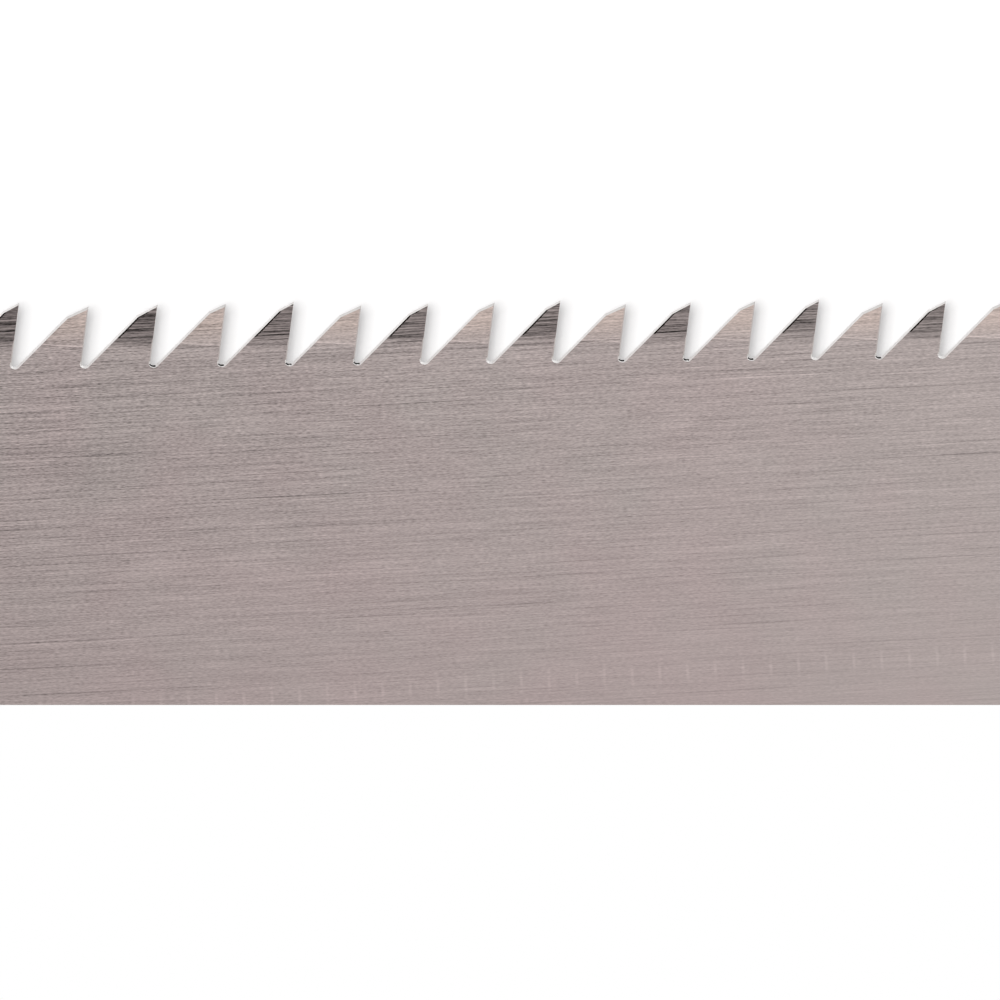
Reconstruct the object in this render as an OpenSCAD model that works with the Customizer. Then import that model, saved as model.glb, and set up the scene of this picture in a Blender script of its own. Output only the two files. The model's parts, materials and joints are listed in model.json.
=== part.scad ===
// Ryoba: a Japanese pull saw with rip teeth on one edge of its blade and
// crosscut teeth on the other, and a blade that slides out of a screw clamp.
// The saw lies flat: +X runs from the toe to the butt, +Y is the rip edge, +Z is up.

/* [Blade] */
// Toothed length of the blade
blade_len = 240; // [180:1:300]
// Distance from the centre line to the line of tooth tips at the toe
toe_half_w = 44; // [34:0.5:50]
// Angle by which each toothed edge closes on the centre line towards the handle
flare = 2.74; // [1:0.02:3.2]
// Thickness of the steel plate
blade_t = 0.5; // [0.3:0.05:0.9]
// Height of the shallow curve across the toe
toe_bow = 2; // [0.5:0.5:6]
// Plain edge between the last tooth and the heel corner
heel_land = 5; // [3:0.5:12]
// Length of the shoulder from the heel corner in to the neck
shoulder_len = 12; // [8:1:20]
// Length of the bare neck between the shoulder and the clamp
neck_len = 9; // [5:1:30]
// Width of the neck
neck_w = 24; // [22:0.5:26]

/* [Rip teeth] */
// Pitch of the rip teeth at the toe
rip_pitch = 4.2; // [3:0.1:5]
// Share of its pitch that each rip tooth loses on the one before it
rip_fall = 0.0075; // [0.002:0.0005:0.009]
// Lean of the cutting face from upright, towards the handle at the tip
rip_lean = 7.6; // [3:0.2:12]
// Rise of the back of the tooth
rip_back = 45; // [43:0.5:47]
// Rise of the relieving facet behind the tip
rip_facet = 27.5; // [20:0.5:34]
// Depth of the gullet as a share of the pitch
rip_depth = 0.89; // [0.86:0.01:0.94]
// Radius of the gullet as a share of the pitch
rip_gullet = 0.055; // [0.03:0.005:0.09]
// Most that a tip stands above or below the line, in a cycle of four teeth
rip_stagger = 0.1; // [0:0.01:0.15]

/* [Crosscut teeth] */
// Pitch of the crosscut teeth
cross_pitch = 1.75; // [1.3:0.05:2.4]
// Lean of the cutting face from upright
cross_lean = 15; // [10:1:18]
// Rise of the back of the tooth
cross_back = 52; // [50:1:55]
// Rise of the facet behind the tip
cross_facet = 30; // [24:1:38]
// Depth of the gullet as a share of the pitch
cross_depth = 1.35; // [1.25:0.01:1.45]
// Radius of the gullet as a share of the pitch
cross_gullet = 0.05; // [0.03:0.01:0.07]

/* [Blade clamp] */
// Length of the tang that goes into the clamp
tang_len = 31; // [26:1:34]
// Width of the tang
tang_w = 20; // [16:0.5:21]
// Thickness of each steel cheek
cheek_t = 1.6; // [1:0.1:2.5]
// Length of the cheeks in front of the handle
cheek_len = 42; // [38:1:55]
// Width of the clamp at its mouth
clamp_front_w = 30; // [28:0.5:34]
// Width of the clamp where it enters the ferrule
clamp_rear_w = 22; // [20:0.5:22.5]
// Length of the tails inside the wood
tail_len = 62; // [40:1:90]
// Width of the tails inside the wood
tail_w = 13; // [8:0.5:15]
// Distance of the clamp screw behind the mouth
screw_at = 18; // [14:0.5:20]
// Diameter of the clamp screw's shank
screw_d = 5; // [3:0.5:6]
// Diameter of the screw's head
head_d = 12; // [10:0.5:14]
// Height of the screw's head
head_h = 3.6; // [2.5:0.1:6]
// Diameter of the rivets
rivet_d = 2.4; // [1.6:0.1:3]

/* [Handle] */
// Length of the wooden handle
handle_len = 301; // [240:1:360]
// Width of the wood at its front
front_w = 27; // [26:0.5:32]
// Thickness of the wood at its front
front_t = 20; // [17:0.5:26]
// Width of the wood at the butt
butt_w = 33; // [27:0.5:40]
// Thickness of the wood at the butt
butt_t = 25; // [20:0.5:32]
// Radius round the end of the butt
butt_round = 4; // [1:0.5:6]
// Wall of the steel ferrule and of the rear ring
band_t = 1.2; // [0.8:0.1:2]
// Length of the ferrule
ferrule_len = 22; // [14:1:34]
// Thickness of the rattan strip
cane_t = 1.1; // [0.7:0.1:1.8]
// Length that the rattan covers
wrap_len = 205; // [150:1:230]
// Length of the rear ring
ring_len = 7; // [4:0.5:12]
// Diameter of the steel pins that hold the tails in the wood
tang_pin_d = 3; // [2:0.5:5]
// Diameter of the wooden dowels between the two halves
dowel_d = 5; // [4:0.5:8]

/* [Hanging eyelet] */
// Inside diameter of the eyelet
eyelet_bore = 5; // [4:0.5:7]
// Wall of the eyelet
eyelet_wall = 0.6; // [0.4:0.1:1]
// Distance of the eyelet in front of the butt
eyelet_at = 20; // [14:1:22]
// Diameter of the eyelet's flanges
flange_d = 10; // [9:0.5:13]

/* [Hidden] */
$fn = 48;

// Clearances
slide_gap = 0.05;   // on each flat of the blade inside the clamp
side_gap = 0.1;     // on each edge of the tang
seat_gap = 0.1;     // between the blade's step and the clamp's mouth
thread_gap = 0.05;  // between the screw and its nut
hole_gap = 0.25;    // round the screw in the cheek, the washer and the tang's slot
press_gap = 0.02;   // round pins, rivets and bushes that are pressed in
skin_gap = 0.05;    // between the wood and what is bound round it

// Stations along X, with the whole saw centred on the origin
full_len = blade_len + heel_land + shoulder_len + neck_len + cheek_len + handle_len;
toe_x = -full_len / 2;
heel_x = toe_x + blade_len;
corner_x = heel_x + heel_land;
neck_x = corner_x + shoulder_len;
mouth_x = neck_x + neck_len;
wood_x = mouth_x + cheek_len;
butt_x = wood_x + handle_len;
screw_x = mouth_x + screw_at;
wrap_x = wood_x + ferrule_len;
ring_x = wrap_x + wrap_len;
eyelet_x = butt_x - eyelet_at;

// Handle section at the share u of its length, from 0 at the front to 1 at the butt
function share(x) = (x - wood_x) / handle_len;
function core_w(x) = front_w + (butt_w - front_w) * pow(share(x), 2);
function core_t(x) = front_t + (butt_t - front_t) * pow(share(x), 2);

ring_sides = 48;   // corners of each oval
fullness = 2.3;    // 2 would be an ellipse

// Half the distance between the outer faces of the eyelet's flanges, just proud of the wood
flange_face = core_t(eyelet_x + flange_d / 2) / 2 + side_gap;

// Heights: the saw rests on whatever reaches lowest, which is the rear ring's lowest corner
oval_reach = pow(cos(180 / ring_sides), 2 / fullness);
mid_z = max(
    (core_t(ring_x + ring_len) / 2 + skin_gap + band_t) * oval_reach,
    core_t(butt_x - butt_round) / 2 * oval_reach,
    flange_face);
slot_t = blade_t + 2 * slide_gap;
cheek_z = slot_t / 2;
clamp_t = slot_t + 2 * cheek_t;

// Outline helpers

function unit(v) = v / norm(v);

// The arc that rounds the corner b of the path a, b, c with radius r, as steps + 1 points
function corner_arc(a, b, c, r, steps = 6) =
    let (
        u = unit(a - b),
        v = unit(c - b),
        half = acos(max(-1, min(1, u * v))) / 2,
        centre = b + unit(u + v) * r / sin(half),
        start = b + u * r / tan(half),
        finish = b + v * r / tan(half),
        p = start - centre,
        q = finish - centre,
        sweep = 180 - 2 * half,
        turn = sign(p[0] * q[1] - p[1] * q[0])
    )
    [for (i = [0:steps])
        let (t = turn * sweep * i / steps)
        centre + [p[0] * cos(t) - p[1] * sin(t), p[0] * sin(t) + p[1] * cos(t)]];

// A closed outline from corners [x, y, radius], where radius 0 leaves the corner sharp
function rounded(corners) =
    let (n = len(corners))
    [for (i = [0:n - 1])
        let (
            b = corners[i],
            a = corners[(i + n - 1) % n],
            c = corners[(i + 1) % n]
        )
        each (b[2] == 0
            ? [[b[0], b[1]]]
            : corner_arc([a[0], a[1]], [b[0], b[1]], [c[0], c[1]], b[2]))];

function flip_y(points) = [for (i = [len(points) - 1:-1:0]) [points[i][0], -points[i][1]]];

// Teeth: s runs along the edge from the toe, h stands outwards from the line of tips

// The tips stand high, low, just low and just high in turn
stagger_cycle = [-1, -0.2, 0.1, 1] * rip_stagger;
function stagger(i) = stagger_cycle[i % 4];

function rip_tip(i) =
    [rip_pitch * (1 - pow(1 - rip_fall, i)) / rip_fall, stagger(i)];
function cross_tip(i) = [cross_pitch * i, 0];

// The gullet after tip a and the facet before tip b, for teeth with these angles
function tooth_gap(a, b, pitch, lean, back, facet, depth, radius) =
    let (
        r = radius * pitch,
        low = -depth * pitch,
        centre = [a[0] + (low + r - a[1]) * tan(lean) + r / cos(lean), low + r],
        from = 180 - lean,
        to = 270 + back,
        foot = centre + r * [cos(to), sin(to)],
        s = (b[1] - b[0] * tan(facet) - foot[1] + foot[0] * tan(back))
            / (tan(back) - tan(facet)),
        steps = 4
    )
    concat(
        [for (i = [0:steps])
            let (t = from + (to - from) * i / steps)
            centre + r * [cos(t), sin(t)]],
        [[s, b[1] - (b[0] - s) * tan(facet)]]);

function rip_gap(i) =
    let (a = rip_tip(i), b = rip_tip(i + 1))
    tooth_gap(a, b, rip_pitch * pow(1 - rip_fall, i),
        rip_lean, rip_back, rip_facet, rip_depth, rip_gullet);
function cross_gap(i) =
    tooth_gap(cross_tip(i), cross_tip(i + 1), cross_pitch,
        cross_lean, cross_back, cross_facet, cross_depth, cross_gullet);

first_tip = 2.5;    // distance of the first tip from the toe, along the edge
rip_count = floor(ln(1 - (blade_len - first_tip) * rip_fall / rip_pitch)
    / ln(1 - rip_fall));
cross_count = floor((blade_len - first_tip) / cross_pitch);

// Places a point of a toothed edge in the blade's plane
function on_edge(p) =
    [toe_x + toe_bow + (first_tip + p[0]) * cos(flare) + p[1] * sin(flare),
        toe_half_w - (first_tip + p[0]) * sin(flare) + p[1] * cos(flare)];

rip_edge = [
    each [on_edge(rip_tip(0) - [first_tip, first_tip * tan(rip_back)])],
    for (i = [0:rip_count - 1]) each concat([on_edge(rip_tip(i))],
        i < rip_count - 1
            ? [for (p = rip_gap(i)) on_edge(p)]
            : [for (j = [0:4]) on_edge(rip_gap(i)[j])])];
cross_edge = [
    each [on_edge(cross_tip(0) - [first_tip, first_tip])],
    for (i = [0:cross_count - 1]) each concat([on_edge(cross_tip(i))],
        i < cross_count - 1
            ? [for (p = cross_gap(i)) on_edge(p)]
            : [for (j = [0:4]) on_edge(cross_gap(i)[j])])];

// From the last gullet at p round the heel corner and the shoulder to the clamp's mouth
corner_r = 4;
neck_r = 10;
function heel_side(p) =
    let (
        land = [corner_x, p[1] - (corner_x - p[0]) * sin(flare)],
        neck = [neck_x, neck_w / 2],
        stop = [mouth_x - seat_gap, neck_w / 2]
    )
    concat(
        corner_arc(p, land, neck, corner_r),
        corner_arc(land, neck, stop, min(neck_r, neck_len)),
        [stop, [stop[0], tang_w / 2]]);

// The tang's open slot, which straddles the clamp screw
slot_w = screw_d + 2 * hole_gap;
tang_x = mouth_x - seat_gap + tang_len;
tang_chamfer = 2;
tang_end = [
    [tang_x - tang_chamfer, tang_w / 2],
    [tang_x, tang_w / 2 - tang_chamfer],
    [tang_x, slot_w / 2]];
slot_end = [for (a = [90:15:270]) [screw_x + slot_w / 2 * cos(a), slot_w / 2 * sin(a)]];

// The shallow curve across the toe, between the first teeth of the two edges
toe_steps = 12;
toe_curve = [for (i = [1:toe_steps - 1])
    let (
        a = rip_edge[0],
        b = flip_y(cross_edge)[len(cross_edge) - 1],
        t = 1 - i / toe_steps
    )
    [toe_x + toe_bow * pow(2 * t - 1, 2), b[1] + (a[1] - b[1]) * (1 - t)]];

module blade() {
    color("#a89b99")
        translate([0, 0, mid_z - blade_t / 2])
            linear_extrude(blade_t)
                polygon(concat(
                    rip_edge,
                    heel_side(rip_edge[len(rip_edge) - 1]),
                    tang_end,
                    slot_end,
                    flip_y(tang_end),
                    flip_y(heel_side(cross_edge[len(cross_edge) - 1])),
                    flip_y(cross_edge),
                    toe_curve));
}

// Clamp: two cheeks and a frame between them that leaves the slot for the tang

waist_x = wood_x + band_t + seat_gap;
clamp_outline = rounded([
    [mouth_x, clamp_front_w / 2, 3],
    [mouth_x + cheek_len * 0.45, clamp_front_w / 2, 12],
    [wood_x - cheek_len * 0.15, clamp_rear_w / 2, 6],
    [waist_x, clamp_rear_w / 2, 0],
    [waist_x, tail_w / 2, 0],
    [wood_x + tail_len, tail_w / 2, 2],
    [wood_x + tail_len, -tail_w / 2, 2],
    [waist_x, -tail_w / 2, 0],
    [waist_x, -clamp_rear_w / 2, 0],
    [wood_x - cheek_len * 0.15, -clamp_rear_w / 2, 6],
    [mouth_x + cheek_len * 0.45, -clamp_front_w / 2, 12],
    [mouth_x, -clamp_front_w / 2, 3]]);

// Rivets: one in each rail beside the tang and two behind it
rail_y = (tang_w / 2 + side_gap + clamp_front_w / 2) / 2;
pocket_x = tang_x + seat_gap + side_gap;
rivet_places = [
    [mouth_x + 5, rail_y],
    [mouth_x + 5, -rail_y],
    [(pocket_x + wood_x) / 2, clamp_rear_w / 4],
    [(pocket_x + wood_x) / 2, -clamp_rear_w / 4]];

tang_pin_places = [wood_x + tail_len * 0.45, wood_x + tail_len * 0.8];
nut_d = screw_d + 3;
tall = 4 * butt_t;

module upright_hole(x, y, d) {
    translate([x, y, mid_z - tall / 2])
        cylinder(d = d, h = tall);
}

module cheek_plate(z, hole_d) {
    difference() {
        translate([0, 0, z])
            linear_extrude(cheek_t)
                polygon(clamp_outline);
        upright_hole(screw_x, 0, hole_d);
        for (p = rivet_places)
            upright_hole(p[0], p[1], rivet_d + 2 * press_gap);
        for (x = tang_pin_places)
            upright_hole(x, 0, tang_pin_d + 2 * press_gap);
    }
}

module upper_cheek() {
    color("#c9c9c6")
        cheek_plate(mid_z + cheek_z, screw_d + 2 * hole_gap);
}

module lower_cheek() {
    color("#c9c9c6")
        cheek_plate(mid_z - cheek_z - cheek_t, nut_d + 2 * press_gap);
}

module slot_frame() {
    color("#b0b0ad")
        difference() {
            translate([0, 0, mid_z - slot_t / 2])
                linear_extrude(slot_t)
                    polygon(clamp_outline);
            translate([mouth_x - 1, -tang_w / 2 - side_gap, mid_z - tall / 2])
                cube([pocket_x - mouth_x + 1, tang_w + 2 * side_gap, tall]);
            for (p = rivet_places)
                upright_hole(p[0], p[1], rivet_d + 2 * press_gap);
            for (x = tang_pin_places)
                upright_hole(x, 0, tang_pin_d + 2 * press_gap);
        }
}

rivet_head_r = rivet_d * 0.85;
rivet_head_h = rivet_d * 0.3;

// Half of a rivet's profile: a shank and a domed head
function dome(r, h, steps = 6) =
    [for (i = [0:steps]) let (t = 90 * i / steps) [r * cos(t), h * sin(t)]];

module rivet() {
    rotate_extrude()
        polygon([
            for (p = dome(rivet_head_r, rivet_head_h)) [p[0], clamp_t / 2 + p[1]],
            for (i = [6:-1:0])
                let (p = dome(rivet_head_r, rivet_head_h)[i])
                [p[0], -clamp_t / 2 - p[1]],
            [rivet_d / 2, -clamp_t / 2],
            [rivet_d / 2, clamp_t / 2]]);
}

module cheek_rivets() {
    color("#d2d2cf")
        for (p = rivet_places)
            translate([p[0], p[1], mid_z])
                rivet();
}

// A nut pressed into the lower cheek, with a six-sided flange below it
nut_flange_h = 2.2;
nut_flange_d = nut_d + 4;
module clamp_nut() {
    color("#bdbdb8")
        difference() {
            union() {
                translate([screw_x, 0, mid_z - cheek_z - cheek_t - nut_flange_h / 2])
                    cylinder(d = nut_d, h = cheek_t + nut_flange_h / 2);
                translate([screw_x, 0, mid_z - cheek_z - cheek_t - nut_flange_h])
                    cylinder(d = nut_flange_d, h = nut_flange_h, $fn = 6);
            }
            upright_hole(screw_x, 0, screw_d + 2 * thread_gap);
        }
}

washer_t = 1;
washer_gap = 0.02;
washer_z = mid_z + clamp_t / 2 + washer_gap;
module clamp_washer() {
    color("#d0cfc9")
        difference() {
            translate([screw_x, 0, washer_z])
                cylinder(d = head_d + 2, h = washer_t);
            upright_hole(screw_x, 0, screw_d + 2 * thread_gap);
        }
}

// The screw: two turns undo it as far as the clip below the nut lets it go
thread_pitch = 0.8;
screw_lift = 2 * thread_pitch;
screw_slot_w = 1.4;
screw_slot_h = 1.5;
head_z = washer_z + washer_t + washer_gap;
clip_t = 0.8;
clip_top = mid_z - clamp_t / 2 - nut_flange_h - screw_lift - slide_gap;
groove_d = screw_d - 1.2;
tip_len = 1;
module clamp_screw() {
    color("#c6c5bf")
        difference() {
            union() {
                translate([screw_x, 0, clip_top + press_gap])
                    cylinder(d = screw_d, h = head_z + 0.1 - clip_top - press_gap);
                translate([screw_x, 0, clip_top - clip_t - tip_len])
                    cylinder(d = groove_d, h = clip_t + tip_len + 0.1);
                translate([screw_x, 0, clip_top - clip_t - press_gap - tip_len])
                    cylinder(d = screw_d, h = tip_len);
                translate([screw_x, 0, head_z])
                    cylinder(d = head_d, h = head_h);
            }
            translate([screw_x - head_d, -screw_slot_w / 2, head_z + head_h - screw_slot_h])
                cube([2 * head_d, screw_slot_w, head_h]);
        }
}

module screw_clip() {
    color("#8f8f8c")
        difference() {
            translate([screw_x, 0, clip_top - clip_t])
                cylinder(d = screw_d + 3, h = clip_t);
            upright_hole(screw_x, 0, groove_d + 2 * press_gap);
        }
}

// Handle: a loft through oval rings

function oval(x, w, t) =
    [for (i = [0:ring_sides - 1])
        let (a = 360 * (i + 0.5) / ring_sides)
        [x,
            w / 2 * sign(cos(a)) * pow(abs(cos(a)), 2 / fullness),
            mid_z + t / 2 * sign(sin(a)) * pow(abs(sin(a)), 2 / fullness)]];

// A closed solid through rings of the same number of points
module loft(rings) {
    n = len(rings[0]);
    last = (len(rings) - 1) * n;
    polyhedron(
        points = [for (ring = rings) each ring],
        faces = [
            for (r = [0:len(rings) - 2], i = [0:n - 1])
                let (j = (i + 1) % n, a = r * n)
                each [[a + i, a + n + i, a + n + j], [a + i, a + n + j, a + j]],
            [for (i = [0:n - 1]) i],
            [for (i = [n - 1:-1:0]) last + i]]);
}

// The handle's own skin from x0 to x1, grown outwards by grow
module core_loft(x0, x1, grow, steps) {
    loft([for (i = [0:steps])
        let (x = x0 + (x1 - x0) * i / steps)
        oval(x, core_w(x) + 2 * grow, core_t(x) + 2 * grow)]);
}

// The wood, with its rounded end, cut for everything that goes into it
body_steps = 10;
round_steps = 4;
module core_body() {
    straight = [for (i = [0:body_steps])
        let (x = wood_x + band_t + seat_gap
            + (handle_len - butt_round - band_t - seat_gap) * i / body_steps)
        oval(x, core_w(x), core_t(x))];
    rounding = [for (i = [1:round_steps])
        let (
            t = 80 * i / round_steps,
            x = butt_x - butt_round * (1 - sin(t) / sin(80)),
            cut = 2 * butt_round * (1 - cos(t))
        )
        oval(x, core_w(x) - cut, core_t(x) - cut)];
    difference() {
        loft(concat(straight, rounding));
        translate([wood_x - 1, -tail_w / 2 - side_gap, mid_z - clamp_t / 2 - slide_gap])
            cube([tail_len + 1 + side_gap, tail_w + 2 * side_gap, clamp_t + 2 * slide_gap]);
        for (x = tang_pin_places)
            upright_hole(x, 0, tang_pin_d + 2 * press_gap);
        for (p = dowel_places)
            translate([p[0], p[1], mid_z - dowel_len / 2 - press_gap])
                cylinder(d = dowel_d + 2 * press_gap, h = dowel_len + 2 * press_gap);
        upright_hole(eyelet_x, 0, eyelet_bore + 2 * eyelet_wall + 2 * press_gap);
        translate([eyelet_x, 0, mid_z + flange_face - flange_t - press_gap])
            cylinder(d = flange_d + 2 * side_gap, h = flange_d);
        translate([eyelet_x, 0, mid_z - flange_face + flange_t + press_gap - flange_d])
            cylinder(d = flange_d + 2 * side_gap, h = flange_d);
        for (p = concat(ferrule_pin_places, ring_pin_places))
            side_hole(p[0], p[1]);
    }
}

module half_space(up) {
    translate([wood_x - 1, -tall, up ? mid_z : mid_z - tall])
        cube([handle_len + 2, 2 * tall, tall]);
}

module core_upper() {
    color("#d9b98a")
        intersection() {
            core_body();
            half_space(true);
        }
}

module core_lower() {
    color("#d4b382")
        intersection() {
            core_body();
            half_space(false);
        }
}

dowel_len = 12;
dowel_places = [
    [wood_x + handle_len * 0.42, 0],
    [wood_x + handle_len * 0.78, 0]];
module core_dowels() {
    color("#c79f6b")
        for (p = dowel_places)
            translate([p[0], p[1], mid_z - dowel_len / 2])
                cylinder(d = dowel_d, h = dowel_len);
}

module tang_pins() {
    color("#9a9a98")
        for (x = tang_pin_places)
            translate([x, 0, mid_z - core_t(x) / 2 + 0.5])
                cylinder(d = tang_pin_d, h = core_t(x) - 1);
}

// A drawn cup round the front of the wood, with a window for the clamp
module ferrule() {
    color("#c4c3be")
        difference() {
            core_loft(wood_x, wrap_x, skin_gap + band_t, 4);
            core_loft(wood_x + band_t, wrap_x + 1, skin_gap, 4);
            translate([wood_x - 1, -clamp_rear_w / 2 - side_gap, mid_z - clamp_t / 2 - slide_gap])
                cube([band_t + 2, clamp_rear_w + 2 * side_gap, clamp_t + 2 * slide_gap]);
            for (p = ferrule_pin_places)
                side_hole(p[0], p[1]);
        }
}

// Small nails through the bands into the wood, one on each side
pin_d = 1.6;
pin_head_d = 3;
pin_len = 7;
ferrule_pin_places = [[wood_x + ferrule_len * 0.65, 1], [wood_x + ferrule_len * 0.65, -1]];
ring_pin_places = [[ring_x + ring_len / 2, 1], [ring_x + ring_len / 2, -1]];

function band_y(x) = core_w(x) / 2 + skin_gap + band_t;

module side_hole(x, side) {
    translate([x, side * (band_y(x) - pin_len - press_gap), mid_z])
        rotate([-90 * side, 0, 0])
            cylinder(d = pin_d + 2 * press_gap, h = pin_len + 2);
}

module nail(x, side) {
    translate([x, side * band_y(x), mid_z])
        rotate([-90 * side, 0, 0]) {
            translate([0, 0, -pin_len])
                cylinder(d = pin_d, h = pin_len + 0.2);
            translate([0, 0, 0.1])
                rotate_extrude()
                    polygon(concat(dome(pin_head_d / 2, 0.7), [[0, 0]]));
        }
}

module ferrule_pins() {
    color("#b9a05a")
        for (p = ferrule_pin_places)
            nail(p[0], p[1]);
}

module rattan_wrap() {
    color("#cda565")
        difference() {
            core_loft(wrap_x + seat_gap, ring_x - seat_gap, skin_gap + cane_t, 8);
            core_loft(wrap_x - 1, ring_x + 1, skin_gap, 8);
        }
}

module rear_ring() {
    color("#c4c3be")
        difference() {
            core_loft(ring_x, ring_x + ring_len, skin_gap + band_t, 2);
            core_loft(ring_x - 1, ring_x + ring_len + 1, skin_gap, 2);
            for (p = ring_pin_places)
                side_hole(p[0], p[1]);
        }
}

module ring_pins() {
    color("#b9a05a")
        for (p = ring_pin_places)
            nail(p[0], p[1]);
}

// A brass tube through the butt with a flange let into the top, and a washer let in below
flange_t = 0.8;
module hanging_eyelet() {
    color("#c9a445")
        difference() {
            union() {
                translate([eyelet_x, 0, mid_z - flange_face])
                    cylinder(d = eyelet_bore + 2 * eyelet_wall, h = 2 * flange_face);
                translate([eyelet_x, 0, mid_z + flange_face - flange_t])
                    cylinder(d = flange_d, h = flange_t);
            }
            upright_hole(eyelet_x, 0, eyelet_bore);
        }
}

module eyelet_washer() {
    color("#c9a445")
        difference() {
            translate([eyelet_x, 0, mid_z - flange_face])
                cylinder(d = flange_d, h = flange_t);
            upright_hole(eyelet_x, 0, eyelet_bore + 2 * eyelet_wall + 2 * press_gap);
        }
}

blade();
upper_cheek();
lower_cheek();
slot_frame();
cheek_rivets();
clamp_nut();
clamp_washer();
clamp_screw();
screw_clip();
ferrule();
ferrule_pins();
core_upper();
core_lower();
core_dowels();
tang_pins();
rattan_wrap();
rear_ring();
ring_pins();
hanging_eyelet();
eyelet_washer();
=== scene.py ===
# %% [markdown]
# # A ryoba, the saw with two toothed edges
#
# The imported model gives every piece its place, and this script dresses it. It builds the
# toothed blade, the rattan binding and the fittings as surfaces, gives every piece its
# finish, and sets a camera over the stretch of blade that the photograph shows. Each cell
# explains one step before doing it.

# %% Load the fixed frame
import json
import math

import bmesh
import bpy
import numpy as np
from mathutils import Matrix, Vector


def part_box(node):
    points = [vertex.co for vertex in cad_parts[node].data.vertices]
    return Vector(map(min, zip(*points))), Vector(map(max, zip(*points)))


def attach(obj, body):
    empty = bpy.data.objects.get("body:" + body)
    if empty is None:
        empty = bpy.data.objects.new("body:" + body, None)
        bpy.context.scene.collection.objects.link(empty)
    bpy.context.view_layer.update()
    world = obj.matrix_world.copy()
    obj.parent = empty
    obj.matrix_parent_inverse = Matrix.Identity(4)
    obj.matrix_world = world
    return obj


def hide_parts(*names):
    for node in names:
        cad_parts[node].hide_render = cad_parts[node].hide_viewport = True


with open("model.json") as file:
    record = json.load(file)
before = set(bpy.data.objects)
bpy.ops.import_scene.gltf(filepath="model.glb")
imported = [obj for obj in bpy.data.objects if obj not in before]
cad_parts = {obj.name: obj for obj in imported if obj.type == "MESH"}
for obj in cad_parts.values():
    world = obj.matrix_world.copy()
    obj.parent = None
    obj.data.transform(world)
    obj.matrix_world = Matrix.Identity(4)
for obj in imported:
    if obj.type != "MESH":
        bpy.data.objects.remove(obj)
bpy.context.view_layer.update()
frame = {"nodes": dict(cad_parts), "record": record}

MM = 0.001

# %% [markdown]
# ## Where things are
#
# Blender works in metres, and a saw is drawn in millimetres, so every length below is
# written as a number of millimetres times MM. The blade's middle plane and its two ends
# come from the box of the CAD blade. The other stations are counted from there, with the
# same lengths as in the CAD.

# %% Measure the stations
blade_low, blade_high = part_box("blade")
TOP, UNDER = blade_high.z, blade_low.z
MID = (TOP + UNDER) / 2
TOE = blade_low.x
LENGTH = 240 * MM              # toothed length of the blade
print("blade from", round(UNDER / MM, 3), "to", round(TOP / MM, 3), "mm above the floor")

# %% [markdown]
# ## Camera
#
# The photograph looks straight down on 49 mm of the blade, and its edges run with no
# perspective at all, so it was taken with a long lens from far away. A 1500 mm lens, two
# metres above the blade, does the same. The camera is turned by three degrees, because the
# brushed grain climbs that much in the picture.

# %% Set the camera over the photographed stretch
PICTURE_W = 49.33 * MM         # width of blade that fits in the frame
VIEW_X, VIEW_Y = -173.93 * MM, 28.10 * MM      # the middle of the picture on the blade
TILT = math.radians(3.01)
LENS, SENSOR = 1500, 36        # in millimetres, as on a real camera
NEAREST, FURTHEST = 2 * MM, 20                 # the range of distances that the camera sees
camera_data = bpy.data.cameras.new("long lens")
camera_data.lens, camera_data.sensor_width = LENS, SENSOR
reach = PICTURE_W * LENS / SENSOR
camera = bpy.data.objects.new("camera", camera_data)
camera.location = (VIEW_X, VIEW_Y, TOP + reach)
camera.rotation_euler = (0, 0, -TILT)
camera_data.clip_start, camera_data.clip_end = NEAREST, FURTHEST
bpy.context.scene.collection.objects.link(camera)
bpy.context.scene.camera = camera
print("camera", round(reach, 3), "m above the blade")

# %% [markdown]
# ## Meshes from arrays
#
# Every new piece is a table of points and a table of faces, both worked out by numpy in
# one go. One helper turns them into a Blender mesh, joins the points that coincide, so
# that seams are closed, and makes edges sharp where the surface turns by more than a
# given angle. Facts about single points or faces travel with the mesh as attributes, which
# the finishes read later. Every new piece stands for a CAD piece: it moves with the same
# body, and the CAD piece is hidden.

# %% Put a surface into the scene
RECORD = frame["record"]
BODY_OF = {n: b for b, group in RECORD["behaviour"]["bodies"].items() for n in group}
SAME_POINT = 0.0005 * MM       # points closer than this become one


def stand_for(piece, node):
    """Lets a piece take a CAD node's place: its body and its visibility."""
    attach(piece, BODY_OF[node])
    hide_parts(node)


def put(name, points, faces, node, sharp, point_facts, face_facts=None):
    """Makes a piece from points (n, 3) and a list of faces, in place of a CAD node."""
    mesh = bpy.data.meshes.new(name)
    mesh.from_pydata(np.asarray(points, float).tolist(), [], faces)
    for domain, facts in (("POINT", point_facts), ("FACE", face_facts or {})):
        for key, values in facts.items():
            mesh.attributes.new(key, "FLOAT", domain).data.foreach_set(
                "value", np.asarray(values, np.float32))
    shape = bmesh.new()
    shape.from_mesh(mesh)
    bmesh.ops.remove_doubles(shape, verts=shape.verts, dist=SAME_POINT)
    shape.to_mesh(mesh)
    shape.free()
    mesh.shade_smooth()
    mesh.set_sharp_from_angle(angle=math.radians(sharp))
    piece = bpy.data.objects.new(name, mesh)
    bpy.context.scene.collection.objects.link(piece)
    stand_for(piece, node)
    print(f"{name}: {len(mesh.vertices)} points, {len(mesh.polygons)} faces")
    return piece


def net(rows, cols, around=False):
    """Faces of a grid of rows x cols points; around closes each row on itself."""
    r, c = np.meshgrid(np.arange(rows - 1), np.arange(cols if around else cols - 1),
                       indexing="ij")
    a = r * cols + c
    b = r * cols + (c + 1) % cols
    return np.stack([a, b, b + cols, a + cols], -1).reshape(-1, 4)


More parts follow.
